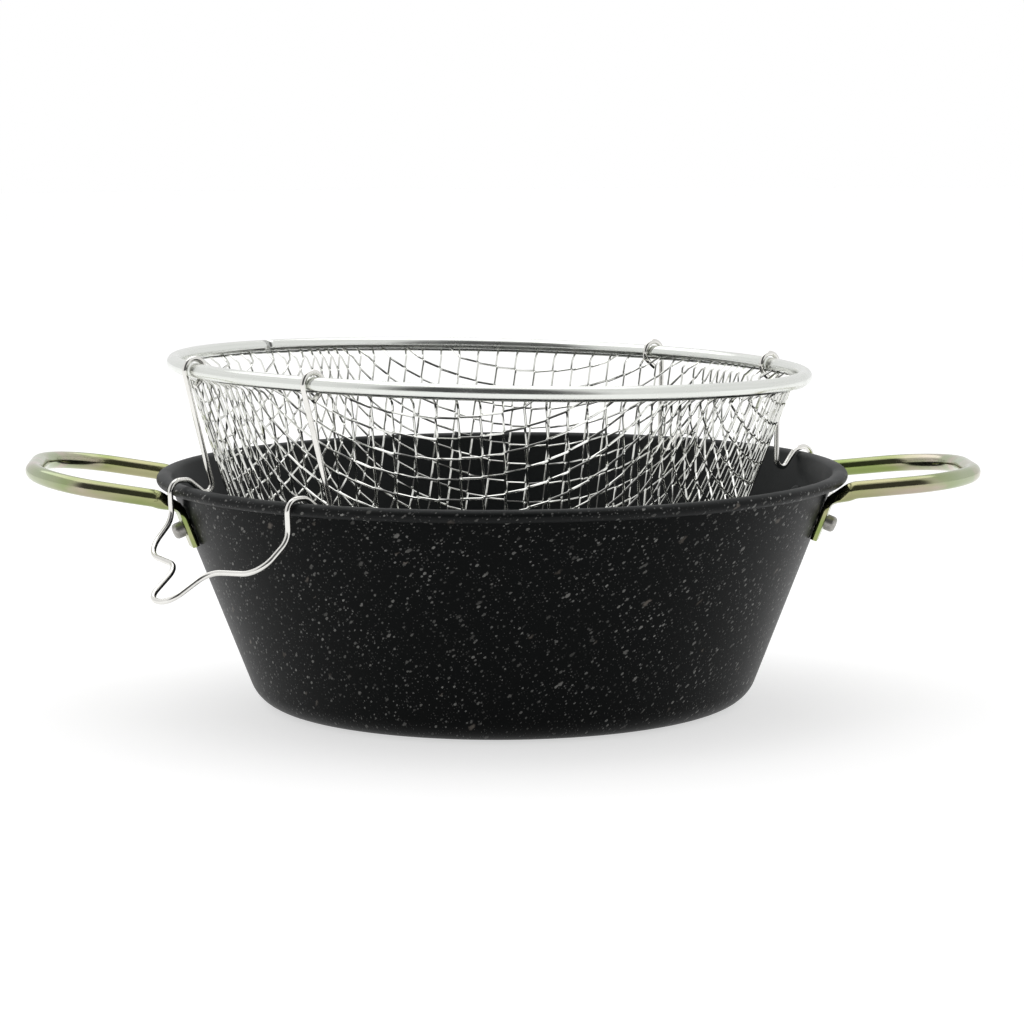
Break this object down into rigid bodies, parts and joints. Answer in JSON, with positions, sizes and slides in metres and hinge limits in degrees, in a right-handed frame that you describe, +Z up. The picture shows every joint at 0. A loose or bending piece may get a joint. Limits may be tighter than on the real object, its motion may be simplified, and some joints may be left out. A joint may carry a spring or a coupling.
{
  "type": "deep fry pot with basket",
  "caption": "Flared sheet pot with a rolled rim and riveted wire loop handles; a round mesh frying basket hangs on its rim by hinged wire hooks to drain.",
  "frame": {"origin": "centre of the pot's flat underside", "axes": "+X to the right, towards the right loop handle; +Y away from the viewer of the picture; +Z up along the pot's axis"},
  "size_m": [0.3861, 0.28, 0.1455],
  "materials": {
    "coating": "matt near-black non-stick coating, speckled light grey outside, plain inside",
    "passivated_steel": "yellow zinc passivation with green and pink tints, half gloss",
    "rivet_aluminium": "plain, slightly dull",
    "plated_sheet": "bright tin or nickel plate on rolled steel sheet",
    "plated_wire": "bright plated steel wire",
    "hanger_wire": "bright plated steel wire"
  },
  "bodies": {
    "pot": {"pot_body": "coating", "left_handle": "passivated_steel", "right_handle": "passivated_steel", "left_handle_front_rivet": "rivet_aluminium", "left_handle_back_rivet": "rivet_aluminium", "right_handle_front_rivet": "rivet_aluminium", "right_handle_back_rivet": "rivet_aluminium"},
    "basket": {"basket_rim": "plated_sheet", "basket_mesh": "plated_wire"},
    "left_hanger_body": {"left_hanger": "hanger_wire"},
    "right_hanger_body": {"right_hanger": "hanger_wire"}
  },
  "joints": [
    {"name": "basket_lift", "type": "slide", "parent": "pot", "child": "basket", "axis": [0, 0, 1], "range_m": [0, 0.2]},
    {"name": "left_hanger_swing", "type": "hinge", "parent": "basket", "child": "left_hanger_body", "pos_m": [-0.09513, -0.08191, 0.13943], "axis": [-0.6714, 0.741, 0.0123], "range_deg": [0, 150]},
    {"name": "right_hanger_swing", "type": "hinge", "parent": "basket", "child": "right_hanger_body", "pos_m": [0.08929, 0.07756, 0.1325], "axis": [0.6358, -0.7718, -0.011], "range_deg": [0, 150]}
  ],
  "couplings": [
    {"joint": "left_hanger_swing", "follows": "basket_lift", "rad_per_m": 13},
    {"joint": "right_hanger_swing", "follows": "basket_lift", "rad_per_m": 13}
  ]
}
